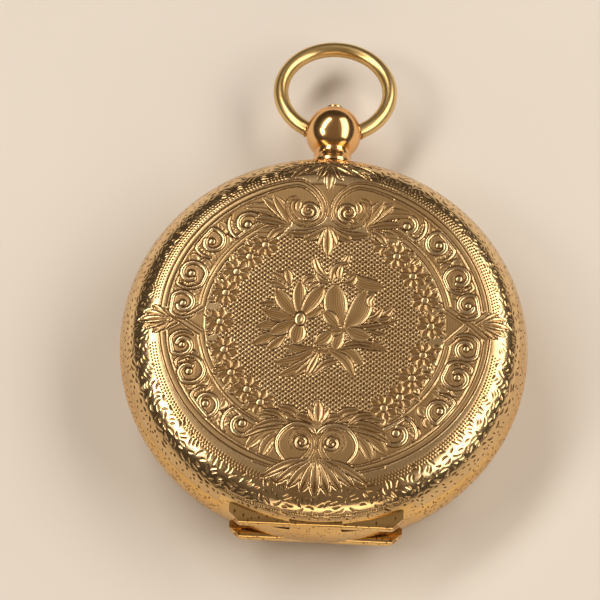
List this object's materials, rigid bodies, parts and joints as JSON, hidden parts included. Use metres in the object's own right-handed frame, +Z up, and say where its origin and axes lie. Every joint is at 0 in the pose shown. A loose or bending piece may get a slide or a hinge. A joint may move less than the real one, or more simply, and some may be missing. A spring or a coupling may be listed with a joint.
{
  "type": "key-wind pocket watch",
  "caption": "Hunter-cased pocket watch wound and set by key from the back: two hinged covers, hinged dust cover with keyholes, ball pendant with push button, swinging round bow",
  "frame": {"origin": "centre of the back cover's flat resting face", "axes": "+Z up through the front cover, +Y from the cover hinges toward the pendant (twelve o'clock), +X toward three o'clock"},
  "size_m": [0.045, 0.0619, 0.012],
  "materials": {
    "yellow_gold": "engraved and lightly worn yellow gold",
    "rose_gold": "polished reddish gold",
    "bow_gold": "smooth greenish gold, slightly dull",
    "crystal": "clear domed glass",
    "enamel": "white enamel",
    "copper": "plain copper",
    "gilt_brass": "frosted gilt",
    "wheel_brass": "grained brass",
    "polished_steel": "polished steel",
    "spring_steel": "grey tempered steel",
    "blued_steel": "heat-blued steel",
    "ruby": "polished red bearing stone"
  },
  "bodies": {
    "case": {"case_middle": "yellow_gold", "bezel": "yellow_gold", "crystal": "crystal", "front_hinge_pin": "yellow_gold", "back_hinge_pin": "yellow_gold", "pendant": "rose_gold", "spring_screws": "blued_steel", "case_screws": "blued_steel", "dial": "enamel", "dial_feet": "copper", "minute_stud": "polished_steel", "mainplate": "gilt_brass", "barrel_bridge": "gilt_brass", "centre_bridge": "gilt_brass", "third_cock": "gilt_brass", "fourth_cock": "gilt_brass", "escape_cock": "gilt_brass", "balance_cock": "gilt_brass", "pallet_bridge": "gilt_brass", "pallet_screws": "blued_steel", "bridge_screws": "blued_steel", "click_screw": "blued_steel", "click_spring": "blued_steel", "banking_pins": "polished_steel", "hairspring_stud": "polished_steel", "jewels": "ruby"},
    "front_lid": {"front_cover": "yellow_gold"},
    "back_lid": {"back_cover": "yellow_gold"},
    "dust_lid": {"dust_cover": "yellow_gold"},
    "bow_ring": {"bow": "bow_gold"},
    "button": {"push_button": "rose_gold"},
    "lock": {"lock_spring": "spring_steel"},
    "lift": {"lift_spring": "spring_steel"},
    "train_centre": {"centre_wheel": "wheel_brass"},
    "hands_minute": {"minute_hand": "blued_steel", "cannon_pinion": "polished_steel", "setting_arbor": "polished_steel"},
    "motion_wheel": {"minute_wheel": "wheel_brass"},
    "hands_hour": {"hour_hand": "blued_steel", "hour_wheel": "wheel_brass"},
    "train_barrel": {"barrel": "wheel_brass", "barrel_cover": "wheel_brass"},
    "winding": {"barrel_arbor": "polished_steel", "ratchet_wheel": "polished_steel", "mainspring": "blued_steel"},
    "train_third": {"third_wheel": "wheel_brass"},
    "train_fourth": {"fourth_wheel": "wheel_brass"},
    "train_escape": {"escape_wheel": "polished_steel"},
    "click_arm": {"click": "polished_steel"},
    "lever": {"pallet_fork": "polished_steel", "pallet_stones": "ruby"},
    "balance": {"balance_wheel": "wheel_brass", "balance_screws": "wheel_brass", "balance_staff": "polished_steel", "roller": "polished_steel", "hairspring": "blued_steel"},
    "index": {"regulator": "polished_steel"}
  },
  "joints": [
    {"name": "front_cover_hinge", "type": "hinge", "parent": "case", "child": "front_lid", "pos_m": [0, -0.02155, 0.0081], "axis": [1, 0, 0], "range_deg": [0, 105]},
    {"name": "back_cover_hinge", "type": "hinge", "parent": "case", "child": "back_lid", "pos_m": [0, -0.02155, 0.0039], "axis": [-1, 0, 0], "range_deg": [0, 105]},
    {"name": "dust_cover_hinge", "type": "hinge", "parent": "case", "child": "dust_lid", "pos_m": [0, -0.02155, 0.0039], "axis": [-1, 0, 0], "range_deg": [0, 55]},
    {"name": "bow_swing", "type": "hinge", "parent": "case", "child": "bow_ring", "pos_m": [0, 0.0266, 0.006], "axis": [1, 0, 0], "range_deg": [-116, 136]},
    {"name": "button_push", "type": "slide", "parent": "case", "child": "button", "axis": [0, -1, 0], "range_m": [0, 0.0005], "stiffness_N_per_m": 300, "springref_m": -0.0005},
    {"name": "lock_spring_flex", "type": "hinge", "parent": "case", "child": "lock", "pos_m": [0.01578, 0.01324, 0.006], "axis": [0, 0, 1], "range_deg": [0, 1.9]},
    {"name": "lift_spring_flex", "type": "hinge", "parent": "case", "child": "lift", "pos_m": [-0.02065, 0.00144, 0.006], "axis": [-0.9976, 0.0698, 0], "range_deg": [0, 1.6]},
    {"name": "centre_wheel_turn", "type": "hinge", "parent": "case", "child": "train_centre", "pos_m": [0, 0, 0.004], "axis": [0, 0, 1], "continuous": true},
    {"name": "minute_hand_turn", "type": "hinge", "parent": "case", "child": "hands_minute", "pos_m": [0, 0, 0.008], "axis": [0, 0, 1], "continuous": true},
    {"name": "minute_wheel_turn", "type": "hinge", "parent": "case", "child": "motion_wheel", "pos_m": [-0.00056, -0.00315, 0.0067], "axis": [0, 0, 1], "continuous": true},
    {"name": "hour_hand_turn", "type": "hinge", "parent": "case", "child": "hands_hour", "pos_m": [0, 0, 0.0075], "axis": [0, 0, 1], "continuous": true},
    {"name": "barrel_turn", "type": "hinge", "parent": "case", "child": "train_barrel", "pos_m": [0.00236, 0.00879, 0.0043], "axis": [0, 0, 1], "continuous": true},
    {"name": "winding_turn", "type": "hinge", "parent": "case", "child": "winding", "pos_m": [0.00236, 0.00879, 0.002], "axis": [0, 0, 1], "continuous": true, "deforming": ["mainspring"]},
    {"name": "third_wheel_turn", "type": "hinge", "parent": "case", "child": "train_third", "pos_m": [0.00382, -0.00382, 0.0041], "axis": [0, 0, 1], "continuous": true},
    {"name": "fourth_wheel_turn", "type": "hinge", "parent": "case", "child": "train_fourth", "pos_m": [0.00145, -0.00793, 0.0038], "axis": [0, 0, 1], "continuous": true},
    {"name": "escape_wheel_turn", "type": "hinge", "parent": "case", "child": "train_escape", "pos_m": [-0.00268, -0.00943, 0.0048], "axis": [0, 0, 1], "continuous": true},
    {"name": "click_lift", "type": "hinge", "parent": "case", "child": "click_arm", "pos_m": [0.00659, 0.00806, 0.002], "axis": [0, 0, -1], "range_deg": [0, 8], "stiffness_Nm_per_rad": 0.0001, "springref_deg": -2.86},
    {"name": "lever_rock", "type": "hinge", "parent": "case", "child": "lever", "pos_m": [-0.00602, -0.00786, 0.0048], "axis": [0, 0, 1], "range_deg": [-6, 6]},
    {"name": "balance_swing", "type": "hinge", "parent": "case", "child": "balance", "pos_m": [-0.01022, -0.0059, 0.004], "axis": [0, 0, 1], "range_deg": [-150, 150], "stiffness_Nm_per_rad": 0.0000005, "deforming": ["hairspring"]},
    {"name": "regulator_shift", "type": "hinge", "parent": "case", "child": "index", "pos_m": [-0.01022, -0.0059, 0.002], "axis": [0, 0, 1], "range_deg": [-10, 10]}
  ],
  "couplings": [
    {"joint": "dust_cover_hinge", "follows": "back_cover_hinge", "ratio": 0.5},
    {"joint": "lock_spring_flex", "follows": "button_push", "rad_per_m": 63.7},
    {"joint": "lift_spring_flex", "follows": "front_cover_hinge", "ratio": 0.015},
    {"joint": "minute_hand_turn", "follows": "centre_wheel_turn", "ratio": 1},
    {"joint": "minute_wheel_turn", "follows": "centre_wheel_turn", "ratio": -0.33333},
    {"joint": "hour_hand_turn", "follows": "centre_wheel_turn", "ratio": 0.083333},
    {"joint": "barrel_turn", "follows": "centre_wheel_turn", "ratio": -0.16667},
    {"joint": "third_wheel_turn", "follows": "centre_wheel_turn", "ratio": -8},
    {"joint": "fourth_wheel_turn", "follows": "centre_wheel_turn", "ratio": 60},
    {"joint": "escape_wheel_turn", "follows": "centre_wheel_turn", "ratio": -480},
    {"joint": "lever_rock", "follows": "balance_swing", "ratio": -0.04}
  ]
}
